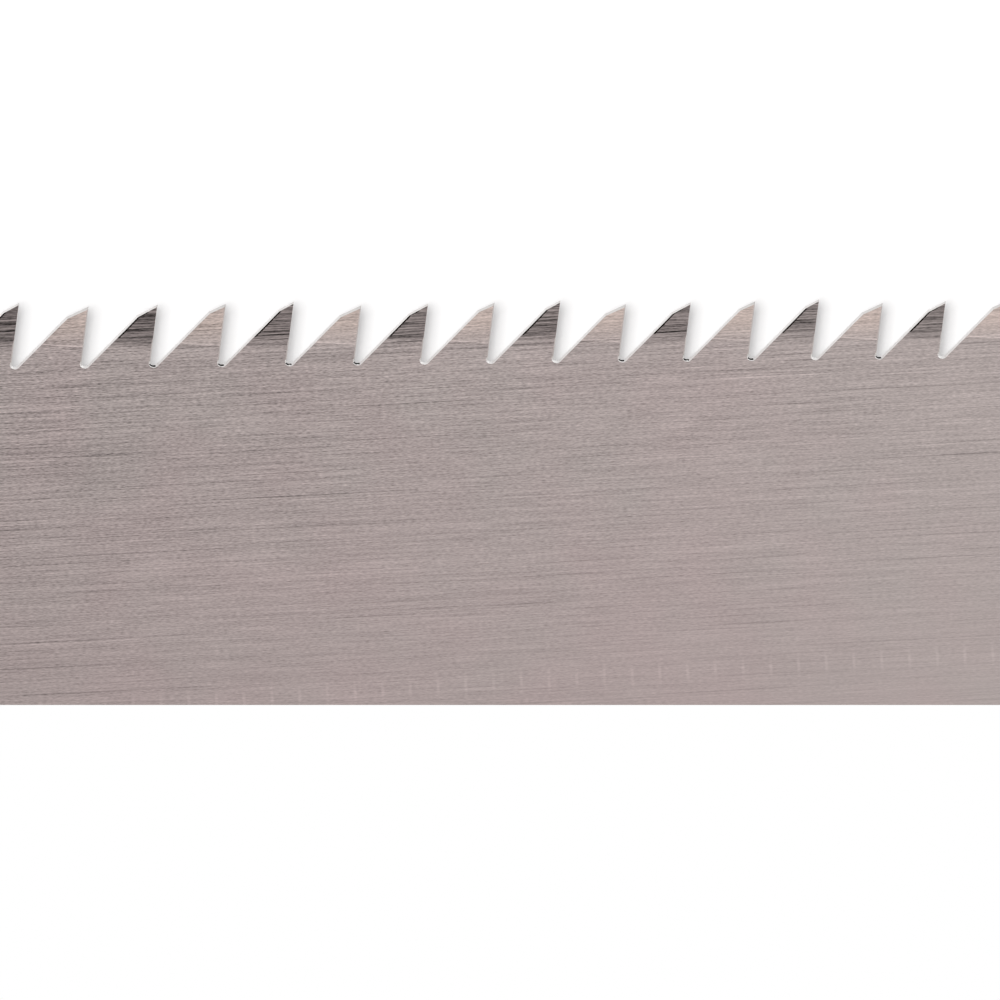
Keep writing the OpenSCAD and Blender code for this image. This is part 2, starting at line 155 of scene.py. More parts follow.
# %% [markdown]
# ## The outline of the teeth
#
# A rip tooth of a pull saw has a nearly upright cutting face that leans to the handle, a
# back that rises at 45 degrees, and a small flatter facet behind its tip. On this saw the
# pitch falls by a steady share from tooth to tooth, so the tips lie at the partial sums of
# a geometric series. The tips also stand a little high and low in a cycle of four. The
# crosscut teeth on the other edge are finer, deeper and even.
#
# Along an edge, s runs from the toe and h stands outwards from the line of tips.

# %% The numbers of the two edges
HALF_TOE = 44 * MM             # from the centre line to the line of tips at the toe
FLARE = math.radians(2.74)     # each edge runs in to the handle by this angle
BOW = 2 * MM                   # height of the curve across the toe
FIRST = 2.5 * MM               # from the toe to the first tip
TOE_STEEL = 0.3 * MM           # plain steel at the toe below the first tooth's bend
SET = math.tan(math.radians(5.6))              # sideways travel per height above the bend


def edge(tips, pitches, side, lean, back, facet, depth, radius, bend, ease, rims, cut):
    """All that describes one toothed edge.

    Angles are in degrees, and facet has one for the even teeth and one for the odd ones.
    The gullet's depth, its radius and the bend's height are in pitches. The bend is eased
    over a length on both sides. rims holds the widths of the bevels, and slim is the share
    of its face bevel that an odd tooth keeps above the bend. cut is how far the bevels take
    the edge below the flat."""
    lean, back = math.radians(lean), math.radians(back)
    odd = np.arange(len(tips)) % 2
    facet = np.radians(np.where(odd, facet[1], facet[0]))
    rims = dict(rims, facet=np.where(odd, rims["facet"][1], rims["facet"][0]))
    r, low = radius * pitches, -depth * pitches
    s, h = tips.T
    centres = np.stack([s + (low + r - h) * math.tan(lean) + r / math.cos(lean), low + r], -1)
    start = bend * pitches
    start[0] = max(start[0], h[0] - FIRST + TOE_STEEL + ease)
    return dict(tips=tips, side=side, lean=lean, back=back, facet=facet, r=r,
                centres=centres, bend=start, ease=ease, rims=rims, cut=cut)


FALL, PITCH = 0.0075, 4.2 * MM                 # the fall per tooth, and the first pitch
CROSS_PITCH = 1.75 * MM
i = np.arange(int(math.log(1 - (LENGTH - FIRST) * FALL / PITCH) / math.log(1 - FALL)))
# the tips stand up to 0.1 mm low or high
stagger = np.array([-1, -0.2, 0.1, 1])[i % 4] * 0.1 * MM
rip = edge(
    tips=np.stack([PITCH * (1 - (1 - FALL) ** i) / FALL, stagger], -1),
    pitches=PITCH * (1 - FALL) ** i, side=1, lean=7.6, back=45, facet=(24.5, 27.5),
    depth=0.89, radius=0.055, bend=-0.57, ease=0.25 * MM, cut=0.1 * MM,
    rims=dict(gullet=0.13 * MM, back=0.105 * MM, facet=(0.13 * MM, 0.092 * MM),
              face=0.048 * MM, slim=0.25))
i = np.arange(int((LENGTH - FIRST) / CROSS_PITCH))
cross = edge(
    tips=np.stack([CROSS_PITCH * i, 0.0 * i], -1), pitches=np.full(len(i), CROSS_PITCH),
    side=-1, lean=15, back=52, facet=(30, 30), depth=1.35, radius=0.05, bend=-0.68,
    ease=0.2 * MM, cut=0.12 * MM,
    rims=dict(gullet=0.05 * MM, back=0.15 * MM, facet=(0.1 * MM, 0.1 * MM),
              face=0.1 * MM, slim=1))
print(len(rip["tips"]), "rip teeth,", len(cross["tips"]), "crosscut teeth")

# %% [markdown]
# ## One tooth as rows across its width
#
# A tooth could be cut out of the plate with booleans, but its fine edges would come out
# ragged. Here each tooth is a grid instead. Its rows run up from the gullets to the tip,
# and each row has four points: the cut edge on the back, the inner rim behind it, the
# inner rim of the cutting face, and the cut edge in front. The strip between a rim and its
# edge is the narrow bevel left by the file, which shines in the photograph.
#
# Saw teeth are set: each is bent a little out of the plate, alternately up and down, so
# that the cut is wider than the steel. The bend starts about half-way up the tooth.

# %% Rows of every tooth
ROUND_ROWS = (2, 5)            # rows round a gullet: of a crosscut tooth, of a rip tooth
GULLET_SWELL = 0.24            # the gullet's circle is so much larger half-way to the face
TOE_FOOT = 0.2 * MM            # the first tooth's foot, which climbs from the toe's edge
TOE_FACET = 0.8 * MM           # its facet starts this far from its tip, along and down


def bend_height(h, start, ease):
    """Sideways travel of a set tooth: nothing below the bend, a parabola through it, and a
    straight ramp above it."""
    t = np.clip((h - start) / ease, -1, 1)
    return SET * (ease * (t + 1) ** 2 / 4 + np.clip(h - start - ease, 0, None))


def tooth_rows(e, fine):
    """Points (tooth, row, column, s and h) of all the teeth of an edge.

    A gullet row is a point on the gullet's circle, which swells in front of the tooth, so
    that the floor is flatter there. A higher row stands at one height, on the straight back
    or facet to the left and on the straight cutting face to the right. An inner rim is its
    edge point moved inwards along the edge's normal. The inner rims of the facet and the
    face meet in one point below the tip. Every other tooth has a steeper facet and a
    slimmer face rim."""
    (ts, th), (cs, ch), n = e["tips"].T, e["centres"].T, len(e["tips"])
    lean, back, facet, rims = e["lean"], e["back"], e["facet"], e["rims"]
    slim = rims["face"] * np.where(np.arange(n) % 2, rims["slim"], 1)
    down, turns = math.radians(270), np.linspace(0, 1, ROUND_ROWS[fine])
    sides = []
    for f in turns:
        a, b = down + back * f, down - (math.pi / 2 + lean) * f
        behind_s = np.roll(cs + e["r"] * math.cos(a), 1)
        behind_h = np.roll(ch + e["r"] * math.sin(a), 1)
        behind_s[0] = ts[0] - FIRST + f * TOE_FOOT
        behind_h[0] = th[0] - FIRST + f * TOE_FOOT
        w_back = rims["gullet"] + (rims["back"] - rims["gullet"]) * f
        w_face = rims["gullet"] + (rims["face"] - rims["gullet"]) * f
        r = e["r"] * (1 + GULLET_SWELL * math.sin(math.pi * f) ** 2)
        sides.append([behind_s, behind_h, w_back * math.cos(a), w_back * math.sin(a),
                      cs + r * math.cos(b), ch + r * math.sin(b),
                      w_face * math.cos(b), w_face * math.sin(b)])
    foot_s, foot_h = sides[-1][0], sides[-1][1]
    tb, tf = math.tan(back), np.tan(facet)
    ss = (th - ts * tf - foot_h + foot_s * tb) / (tb - tf)
    sh = th - (ts - ss) * tf
    ss[0], sh[0] = ts[0] - TOE_FACET, th[0] - TOE_FACET
    wide = rims["facet"] / np.sin(facet) + slim / math.cos(lean)
    end = th - wide / (1 / tf - math.tan(lean))
    low, high = e["bend"] - e["ease"], e["bend"] + e["ease"]
    heights = [low, e["bend"], high, (high + sh) / 2, sh] if fine else [low, high, sh]
    for h in heights + [end, th]:
        t = np.minimum((h - foot_h) / (sh - foot_h), 1)
        u = np.clip((h - sh) / (th - sh), 0, 1)
        w = np.where(h > e["bend"], slim, rims["face"]) if h is not th else 0
        slope, wl = (facet, rims["facet"]) if h is end else (back, rims["back"])
        if h is sh:
            slope, wl = (facet + back) / 2, (rims["facet"] + rims["back"]) / 2
        wl = 0 if h is th else wl
        sides.append([foot_s + (ss - foot_s) * t + (ts - ss) * u, h + 0 * ts,
                      wl * np.sin(slope) + 0 * ts, -wl * np.cos(slope) + 0 * ts,
                      ts + (h - th) * math.tan(lean), h + 0 * ts,
                      -w * math.cos(lean) + 0 * ts, w * math.sin(lean) + 0 * ts])
    sides = np.array([[np.broadcast_to(v, n) for v in row] for row in sides])
    ls, lh, ln, lm, rs, rh, rn, rm = sides.transpose(1, 2, 0)
    rows = np.stack([np.stack([ls, lh], -1), np.stack([ls + ln, lh + lm], -1),
                     np.stack([rs + rn, rh + rm], -1), np.stack([rs, rh], -1)], 2)
    rows[:, -2, 1] = rows[:, -2, 2]
    return rows


def on_blade(e, rows):
    """From s and h along an edge to x and y in the saw's frame: a turn by the flare."""
    s, h = rows[..., 0] + FIRST, rows[..., 1]
    x = TOE + BOW + s * math.cos(FLARE) + h * math.sin(FLARE)
    y = HALF_TOE - s * math.sin(FLARE) + h * math.cos(FLARE)
    return np.stack([x, e["side"] * y], -1)


middle = len(rip["tips"]) // 2
travel = bend_height(0.0, rip["bend"][middle], rip["ease"])
print("the middle tooth's tip stands", round(float(travel) / MM, 3), "mm out")

# %% [markdown]
# ## The teeth as points and faces
#
# The grid is laid twice, once for the upper flat of the plate and once for the lower, and
# the cut edges of the two are joined by walls. Some facts go with it. "across" runs from
# 0 at the inner rim to 1 at the cut edge, and "inward" is the distance in millimetres from
# the back's inner rim. "rise" is 0 at the bend and 1 at the tips. "turned" says how a set
# tooth catches the light: +1 where its flat turns to the middle of the blade, -1 where it
# turns away, and the finish paints that as reflection. "mark" picks the gullets that get
# a painted dark reflection.

# %% Build the teeth of both edges
PLATE, BACK, FACET, FACE, GULLET, WALL, PLAIN = range(7)
TIP_CUT = 0.35                 # share of a bevel's depth that is left at the tip
DARK_GULLET_SEED, NO_DARK_GULLET = 28997, 0.45               # this share of the gullets has no painted dark reflection


def teeth(e, fine):
    """Points, faces, and facts of all the teeth of an edge, with their set."""
    rows = tooth_rows(e, fine)
    n, r = rows.shape[:2]
    xy, h = on_blade(e, rows), rows[..., 1]
    # the even teeth are bent up, the odd ones down
    way = np.where(np.arange(n) % 2 == 0, 1, -1)[:, None, None]
    start = e["bend"][:, None, None]
    out = way * bend_height(h, start, e["ease"])
    cut = e["cut"] * np.outer(np.r_[np.ones(r - 1), TIP_CUT], [1, 0, 0, 1])
    points = [np.concatenate([xy, (MID + flat * ((TOP - MID) - cut) + out)[..., None]], -1)
              for flat in (1, -1)]
    kind = np.full((r - 1, 3), PLATE)
    kind[:, 0], kind[:, 2] = BACK, FACE
    kind[-2:, 0], kind[-1, 2] = FACET, FACET
    kind[:ROUND_ROWS[fine] - 1, (0, 2)] = GULLET
    tooth = np.arange(n)[:, None, None] * (r * 4)
    top = (tooth + net(r, 4)[None]).reshape(-1, 4)
    under = top + n * r * 4
    j = np.arange(r - 1)[:, None]
    left = np.concatenate([j * 4, j * 4 + 4, n * r * 4 + j * 4 + 4, n * r * 4 + j * 4], 1)
    walls = (tooth + np.concatenate([left, left + 3])[None]).reshape(-1, 4)
    turned = np.repeat(way.ravel() * e["side"], (r - 1) * 3)
    # only the finely modelled rip teeth get a painted dark reflection in their gullets
    dark_gullet_reflection = np.random.default_rng(DARK_GULLET_SEED).random(n) * fine
    dark_gullet_reflection = np.where(dark_gullet_reflection > NO_DARK_GULLET, 0.6 + dark_gullet_reflection * 0.4, 0)
    # the painted dark reflection lies on the face's side of its gullet and on the next tooth's back,
    # and fades up
    mark = np.zeros((n, r, 4))
    mark[:, :4, 2:] = (dark_gullet_reflection[:, None] * [1, 1, 0.8, 0.2])[..., None]
    mark[1:, :3, :2] = (dark_gullet_reflection[:-1, None] * [1, 0.9, 0.4])[..., None]
    inward = (rows[..., 0] - rows[..., 1:2, 0]) / MM
    return dict(points=np.concatenate(points).reshape(-1, 3),
                faces=np.concatenate([top, under, walls]),
                kinds=np.concatenate([np.tile(kind.ravel(), 2 * n), np.full(len(walls), WALL)]),
                turned=np.concatenate([turned, -turned, np.zeros(len(walls))]),
                rise=np.tile((1 - h / start).ravel(), 2), inward=np.tile(inward.ravel(), 2),
                across=np.tile([1.0, 0, 0, 1], 2 * n * r), mark=np.tile(mark.ravel(), 2),
                root=xy[:, 0, 1:3], cut=xy[:, 0, (0, 3)])


rip_teeth, cross_teeth = teeth(rip, True), teeth(cross, False)
print("faces on a rip tooth:", len(rip_teeth["faces"]) // len(rip["tips"]),
      "and on a crosscut tooth:", len(cross_teeth["faces"]) // len(cross["tips"]))

# %% [markdown]
# ## The plain outline
#
# Behind the last teeth the blade turns in to a neck and ends in a tang, which a long slot
# opens so that it can slide in under the clamp screw. Rounded corners are arcs, and the
# toe is a very shallow parabola. The stations are measured from the CAD blade's own box.

# %% Corners, neck, tang and toe
def arc(a, b, c, r, steps=6):
    """The arc of radius r that rounds the corner b of the path a, b, c."""
    a, b, c = (np.asarray(p, float) for p in (a, b, c))
    u, v = (a - b) / np.linalg.norm(a - b), (c - b) / np.linalg.norm(c - b)
    half = math.acos(float(u @ v)) / 2
    centre = b + (u + v) / np.linalg.norm(u + v) * r / math.sin(half)
    p = b + u * r / math.tan(half) - centre
    q = b + v * r / math.tan(half) - centre
    turn = (math.pi - 2 * half) * math.copysign(1, p[0] * q[1] - p[1] * q[0])
    t = turn * np.linspace(0, 1, steps + 1)
    return centre + np.stack([p[0] * np.cos(t) - p[1] * np.sin(t),
                              p[0] * np.sin(t) + p[1] * np.cos(t)], -1)


HEEL = TOE + LENGTH            # where the teeth end
CORNER = HEEL + 5 * MM         # where the edge turns in to the neck
NECK = HEEL + 17 * MM          # where the neck starts
MOUTH = NECK + 9 * MM          # front of the clamp
STOP = MOUTH - 0.1 * MM        # the neck's shoulder, just in front of the clamp
TANG = blade_high.x            # end of the tang
SCREW = MOUTH + 18 * MM        # axis of the clamp screw, and of the slot's round end
NECK_Y, TANG_Y, SLOT_Y = 12 * MM, 10 * MM, 2.75 * MM           # half widths
CORNER_R, NECK_R, TANG_CUT = 4 * MM, 9 * MM, 2 * MM


def heel_side(e):
    """From the last gullet round the heel and the neck to the tang's end, at +Y."""
    angles = math.radians(270) + e["back"] * np.linspace(0.5, 1, 2)
    last = e["centres"][-1] + e["r"][-1] * np.stack([np.cos(angles), np.sin(angles)], -1)
    p = on_blade(dict(side=1), last)
    land = (CORNER, p[-1, 1] - (CORNER - p[-1, 0]) * math.sin(FLARE))
    neck, stop = (NECK, NECK_Y), (STOP, NECK_Y)
    return np.concatenate([p, arc(p[-1], land, neck, CORNER_R), arc(land, neck, stop, NECK_R),
                           [stop, (STOP, TANG_Y), (TANG - TANG_CUT, TANG_Y),
                            (TANG, TANG_Y - TANG_CUT), (TANG, SLOT_Y)]])


turn = np.radians(np.arange(90, 271, 15))      # round the slot's end
slot_end = np.stack([SCREW + SLOT_Y * np.cos(turn), SLOT_Y * np.sin(turn)], -1)
flip = np.array([1, -1])
handle_end = np.concatenate([heel_side(rip), slot_end, (heel_side(cross) * flip)[::-1]])
top_y, low_y = rip_teeth["cut"][0, 0], cross_teeth["cut"][0, 0]
share = np.linspace(0, 1, 13)[1:-1]
toe_end = np.stack([TOE + BOW * (2 * share - 1) ** 2,
                    low_y[1] + (top_y[1] - low_y[1]) * share], -1)
print("plain outline:", len(handle_end), "+", len(toe_end), "points")

# %% [markdown]
# ## The blade as one closed plate
#
# The plain parts of the outline get a fine chamfer, made by moving the outline inwards
# along its normals. A Bevel modifier would round the teeth as well, which are sharp.

# %% Chamfer a plain path
CHAMFER_W, CHAMFER_CUT = 0.1 * MM, 0.05 * MM


def inset(path, first, last, w):
    """The path moved to its right by w along the mean normal of its two neighbours."""
    full = np.concatenate([[first], path, [last]])
    d = np.diff(full, axis=0)
    d /= np.linalg.norm(d, axis=1)[:, None]
    d = d[:-1] + d[1:]
    d /= np.linalg.norm(d, axis=1)[:, None]
    return path + w * np.stack([d[:, 1], -d[:, 0]], -1)


def strip(path, first, first_rim, last, last_rim, ties):
    """Chamfer, wall and chamfer along a plain path, from one row of teeth to the next.

    ties gives the depth of the teeth's own bevels, which the strip meets at its two ends."""
    rim = inset(path, first, last, CHAMFER_W)
    path = np.concatenate([[first], path, [last]])
    rim = np.concatenate([[first_rim], rim, [last_rim]])
    cuts = np.full(len(path), CHAMFER_CUT)
    cuts[0], cuts[-1] = ties
    z = [np.full(len(path), TOP), TOP - cuts, UNDER + cuts, np.full(len(path), UNDER)]
    lines = [np.column_stack([p, v]) for p, v in zip((rim, path, path, rim), z)]
    return np.stack(lines, 1).reshape(-1, 3), net(len(path), 4), rim


print("chamfer", round(CHAMFER_W / MM, 3), "mm wide and", round(CHAMFER_CUT / MM, 3), "mm deep")

# %% [markdown]
# ## Teeth and outline joined
#
# Each flat of the plate is one many-cornered face through the roots of the teeth and the
# inner rim of the chamfer. The points of all the blocks go into one table, so the faces of
# a block count on from the points before it, and the helper joins the blocks at their seams.

# %% Assemble the blade
rip_root = np.concatenate([rip_teeth["root"][:, 0], rip_teeth["root"][-1:, 1]])
cross_root = np.concatenate([cross_teeth["root"][:, 0], cross_teeth["root"][-1:, 1]])
ties = (rip["cut"], cross["cut"])
handle_strip, handle_faces, handle_rim = strip(
    handle_end, rip_teeth["cut"][-1, 1], rip_root[-1], cross_teeth["cut"][-1, 1],
    cross_root[-1], ties)
toe_strip, toe_faces, toe_rim = strip(
    toe_end, low_y, cross_root[0], top_y, rip_root[0], ties[::-1])
flat = np.concatenate([rip_root, handle_rim[1:-1], cross_root[::-1], toe_rim[1:-1]])

blocks = [rip_teeth["points"], cross_teeth["points"], handle_strip, toe_strip,
          np.column_stack([flat, np.full(len(flat), TOP)]),
          np.column_stack([flat, np.full(len(flat), UNDER)])]
base = np.cumsum([0] + [len(b) for b in blocks])
faces = [rip_teeth["faces"], cross_teeth["faces"] + base[1], handle_faces + base[2],
         toe_faces + base[3]]
plain = len(handle_faces) + len(toe_faces)
all_faces = np.concatenate(faces).tolist() + [
    list(range(base[4], base[5]))[::-1], list(range(base[5], base[6]))]
kinds = np.concatenate([rip_teeth["kinds"], cross_teeth["kinds"],
                        np.tile([PLAIN, WALL, PLAIN], plain // 3), [PLATE, PLATE]])
others = base[-1] - base[2]
facts = {key: np.concatenate([rip_teeth[key], cross_teeth[key], np.zeros(others)])
         for key in ("rise", "inward", "mark")}
facts["across"] = np.concatenate([rip_teeth["across"], cross_teeth["across"],
                                  np.tile([0.0, 1, 1, 0], (base[4] - base[2]) // 4),
                                  np.zeros(base[6] - base[4])])
turned = np.concatenate([rip_teeth["turned"], cross_teeth["turned"], np.zeros(plain + 2)])
blade = put("toothed_blade", np.concatenate(blocks), all_faces, "blade", sharp=14,
            point_facts=facts, face_facts={"strip": kinds, "turned": turned})

# %% [markdown]
# ## Shader maths as Python
#
# A finish is a small network of nodes. One class wraps an output socket and overloads the
# usual operators, so that an expression on it adds the Math nodes. Another holds a
# material and adds every other kind of node through a single method.

# %% Sockets that can be added and multiplied
class Sock:
    """A value socket; an expression on it becomes Math nodes."""
    def __init__(self, tree, socket):
        self.tree, self.socket = tree, socket

    def maths(self, operation, *values):
        """Adds a Math node: numbers go on its sockets, and other values are linked to them."""
        node = self.tree.nodes.new("ShaderNodeMath")
        node.operation = operation
        for slot, value in zip(node.inputs, values):
            if isinstance(value, Sock):
                self.tree.links.new(value.socket, slot)
            else:
                slot.default_value = float(value)
        return Sock(self.tree, node.outputs[0])

    def __add__(self, other): return self.maths("ADD", self, other)
    def __radd__(self, other): return self.maths("ADD", other, self)
    def __sub__(self, other): return self.maths("SUBTRACT", self, other)
    def __rsub__(self, other): return self.maths("SUBTRACT", other, self)
    def __mul__(self, other): return self.maths("MULTIPLY", self, other)
    def __rmul__(self, other): return self.maths("MULTIPLY", other, self)
    def __truediv__(self, other): return self.maths("DIVIDE", self, other)
    def __rtruediv__(self, other): return self.maths("DIVIDE", other, self)
    def __pow__(self, other): return self.maths("POWER", self, other)
    def __rpow__(self, other): return self.maths("POWER", other, self)
    def __abs__(self): return self.maths("ABSOLUTE", self)
    def sine(self): return self.maths("SINE", self)
    def fraction(self): return self.maths("FRACT", self)
    def above(self, value): return self.maths("GREATER_THAN", self, value)
    def below(self, value): return self.maths("LESS_THAN", self, value)
    # 1 where the two differ by 0.3 at most
    def equals(self, value): return self.maths("COMPARE", self, value, 0.3)
    def at_least(self, low): return self.maths("MAXIMUM", self, low)
    def at_most(self, high): return self.maths("MINIMUM", self, high)
    def clipped(self, low=0, high=1): return self.at_least(low).at_most(high)


class Finish:
    """A material, or the world, as a bench on which nodes are set out."""
    def __init__(self, name=None, owner=None):
        self.owner = owner or bpy.data.materials.new(name)
        self.owner.use_nodes = True
        self.tree = self.owner.node_tree
        self.tree.nodes.clear()

    def node(self, kind, settings=None, inputs=None):
        """Adds a node: first its settings, then the values or links of its sockets."""
        node = self.tree.nodes.new(kind)
        for key, value in (settings or {}).items():
            setattr(node, key, value)
        for key, value in (inputs or {}).items():
            slot = node.inputs[key]
            if isinstance(value, Sock):
                self.tree.links.new(value.socket, slot)
            elif hasattr(value, "is_output"):
                self.tree.links.new(value, slot)
            elif isinstance(value, tuple) and slot.type == "RGBA" and len(value) == 3:
                slot.default_value = (*value, 1)
            else:
                slot.default_value = value
        return node

    def value(self, node, name=0):
        """An output of a node, ready for expressions."""
        return Sock(self.tree, node.outputs[name])

    def fact(self, name):
        """A number that travels with the mesh."""
        node = self.node("ShaderNodeAttribute", {"attribute_name": name})
        return self.value(node, "Fac")

    def place(self, scale=(1, 1, 1), shift=(0, 0, 0)):
        """The point on the object, in metres, scaled along each axis."""
        where = self.node("ShaderNodeTexCoord").outputs["Object"]
        node = self.node("ShaderNodeVectorMath", {"operation": "MULTIPLY_ADD"},
                         {0: where, 1: scale, 2: shift})
        return node.outputs[0]

    def axes(self, point):
        """The x, y and z of a point as three numbers."""
        node = self.node("ShaderNodeSeparateXYZ", None, {0: point})
        return [self.value(node, axis) for axis in range(3)]

    def point(self, x, y, z):
        """Three numbers as one point."""
        return self.node("ShaderNodeCombineXYZ", None, {0: x, 1: y, 2: z}).outputs[0]

    def noise_at(self, point, detail, rough):
        """Noise from 0 to 1 with about one feature to a unit of the point."""
        return self.value(self.node("ShaderNodeTexNoise", None, {
            "Vector": point, "Scale": 1.0, "Detail": detail, "Roughness": rough}))

    def noise(self, per_metre, detail=2.0, rough=0.5, shift=(0, 0, 0)):
        """Noise from 0 to 1 with so many features a metre along x, y and z."""
        return self.noise_at(self.place(per_metre, shift), detail, rough)

    def mix(self, factor, a, b):
        """A colour between a and b: a where the factor is 0, b where it is 1."""
        return self.node("ShaderNodeMix", {"data_type": "RGBA"},
                         {0: factor, 6: a, 7: b}).outputs[2]

    def tone(self, colour, gain):
        """A colour made lighter or darker by a varying gain."""
        return self.node("ShaderNodeVectorMath", {"operation": "SCALE"},
                         {0: colour, "Scale": gain}).outputs[0]

    def bump(self, height, depth, strength):
        """Surface relief: height times depth is in metres."""
        return self.node("ShaderNodeBump", None, {
            "Height": height * (depth / MM), "Distance": MM, "Strength": strength}).outputs[0]

    def done(self, **sockets):
        """The closing Principled shader; keys are its sockets with _ for a space."""
        inputs = {key.replace("_", " "): value for key, value in sockets.items()}
        shader = self.node("ShaderNodeBsdfPrincipled", None, inputs)
        self.node("ShaderNodeOutputMaterial", None, {"Surface": shader.outputs[0]})
        return self.owner


def paint(r, g, b):
    """A colour picked off a screen, 0 to 255, as the linear light that Blender mixes.

    This is the sRGB curve: straight in the darkest part, and the power 2.4 above it."""
    c = np.array([r, g, b]) / 255
    return tuple(float(v) for v in np.where(c <= 0.04045, c / 12.92, ((c + 0.055) / 1.055) ** 2.4))


print("plate colour", [round(v, 3) for v in paint(167, 153, 150)])

# %% [markdown]
# ## Brushed steel
#
# The plate of the blade is brushed along its length. The brush leaves streaks of very
# different lengths: faint ones that cross the whole picture, and short dense ones a few
# tenths of a millimetre long. Each is a noise stretched along X, and a lone dark or bright
# scratch is the end of such a noise. The brush bit hardest near the teeth and towards the
# toe, and the rollers left faint upright ticks along a line. The plate is painted a little
# darker towards the toe and lighter towards the handle, a painted reflection of how the
# light falls along the blade.

# %% The brushing of the plate
BITE_FROM = 26.3 * MM          # further than this from the middle line the brush bites harder
TICK_LINE, TICK_SLOPE = 20.47 * MM, 0.008      # where the ticks cross x = 0, and their rise
TICK_PITCH = 1.37 * MM


def brushing(f):
    """Brightness and tint of the brushed plate, and the parts that the teeth need of them.

    The brightness is about 1, plus every noise less its middle value 0.5 times a weight.
    "drift" is 0 in the middle of the picture and grows by 1 in 25 mm to the handle, and
    "outward" grows from the middle of the blade to its teeth. A share of drift in the
    brightness is painted reflection: darker towards the toe, lighter towards the handle."""
    x, y, _ = f.axes(f.place())
    fine = f.noise((4300, 31000, 4300), 1.0, 0.6)
    medium = f.noise((380, 26000, 900), 1.5, 0.5, (3.1, 7.7, 0))
    long = f.noise((26, 13000, 60), 1.0, 0.5, (1.3, 2.9, 0))
    lone = f.noise((85, 15000, 900), 0.5, 0.5, (2.2, 4.1, 0))
    cloud = f.noise((22, 60, 22), 1.0, 0.5, (5.2, 1.1, 0))
    patch = f.noise((260, 260, 260), 1.0, 0.5, (1, 6, 0))
    drift = ((x + 174 * MM) * 40).clipped(-1.2, 1.2)
    outward = ((abs(y) - BITE_FROM) * 180).clipped(-1.6, 1.8)
    bite = 1.15 + outward * 0.3 - drift * 0.22
    grain = ((fine - 0.5) * 0.95 + (medium - 0.5) * 0.62 + (long - 0.5) * 0.26
             - (lone - 0.63).clipped() * 1.3 + (0.36 - lone).clipped() * 0.8)
    line = (1 - abs(y - TICK_SLOPE * x - TICK_LINE) * 1400).clipped()
    tick = (((x - 0.3 * MM) * (2 * math.pi / TICK_PITCH)).sine() * 10 - 9).clipped()
    # painted reflection: drift makes the plate darker towards the toe and lighter towards the handle
    gain = 1.01 + grain * bite + (cloud - 0.5) * 0.06 + drift * 0.085 + line * tick * 0.14
    tint = ((patch - 0.5) * 1.5 + 0.5 + outward * 0.2 + (drift - 0.45).clipped() * 1.2).clipped()
    return dict(fine=fine, medium=medium, cloud=cloud, drift=drift, gain=gain, tint=tint)


print("a tick every", round(TICK_PITCH / MM, 2), "mm")

# %% [markdown]
# ## Light teeth and dark teeth
#
# The upper flat of a tooth that is bent up mirrors the bright side of the sky, and that of
# a tooth bent down mirrors the dull side. In the photograph the two differ by more than
# reflections alone give here, so the finish adds painted reflection to it: it paints the
# light flats lighter and the dark flats darker. The dark flats are painted streaky and fade
# out round the bend, with a black line of painted dark reflection along their backs. The
# light ones have a painted highlight, a bright line at the bend, and painted shade, a
# darker line beneath it.

# %% The colour of the flats
PAINTED_DARK_LINE = paint(30, 25, 22)      # painted dark reflection: the line along a dark flat's back


def flats(f, brush):
    """Colour of the plate and of the teeth's flats, with the painted reflection of the set teeth.

    A light or a dark flat is painted reflection that fades in with rise. The bright line is a
    painted highlight, a ridge along the bend, 1 on it and falling off to both sides, with a
    weaker ridge of painted shade beneath it. The black line is painted dark reflection, a
    strip beside the back's rim."""
    turned, rise, inward = f.fact("turned"), f.fact("rise"), f.fact("inward")
    broad = f.noise((330, 17000, 900), 2.0, 0.6, (7.3, 0.7, 0))
    streak = f.noise((300, 31000, 900), 1.0, 0.6, (6.1, 3.3, 0))
    bright, dull = turned.clipped(), (turned * -1).clipped()
    # painted reflection: flats turned to the middle are painted lighter, flats turned away darker and
    # streaky
    light = bright * (rise * 1.6 + 0.25).clipped()
    dark = dull * (rise * 4 + 0.5 + (broad - 0.5) * 2.6).clipped()
    gain = brush["gain"] * (1 - dark * (0.415 - brush["drift"] * 0.1))
    gain = gain + (streak - 0.5) * dark * 2.5 + light * 0.145
    fold = rise + inward * 0.03 + 0.004
    # painted highlight: a bright line along the bend of a light flat, with painted shade just beneath
    # it
    glint = (1 - abs(fold) * 38).clipped() * (0.95 - brush["cloud"] * 0.8)
    shade = (1 - abs(fold + 0.055) * 26).clipped() * 0.12
    base = f.mix(brush["tint"], paint(174.5, 159.5, 158), paint(171.5, 160.5, 158))
    base = f.mix(light * 0.7, base, paint(178, 161.5, 153.5))
    plate = f.tone(base, gain + bright * (glint - shade))
    # painted dark reflection: a black line beside the back's rim of a dark flat
    black = (dull * inward.above(0.001) * inward.below(0.045 + broad * 0.13)
             * rise.above(0.13) * rise.below(0.8))
    return f.mix(black, plate, PAINTED_DARK_LINE)


print("the black line reflects", round(PAINTED_DARK_LINE[0], 3), "of red light")

# %% [markdown]
# ## Bevels and painted dark gullets
#
# The file and the grinder leave narrow bevels along every tooth, of bare bright metal that
# is paler than the brushed plate. Their near white is partly painted highlight: the back and
# gullet bevels are painted near white, a little duller above the bend, and the facet and
# face bevels are painted darker, as shaded copies of the same metal. In some gullets a
# dark, ragged arc is painted as a dark reflection. The mesh says which strip a face belongs
# to, so the bevels need no texture map: each strip has its own pale grey, and the painted
# dark arc is black where its mark and a noise agree.

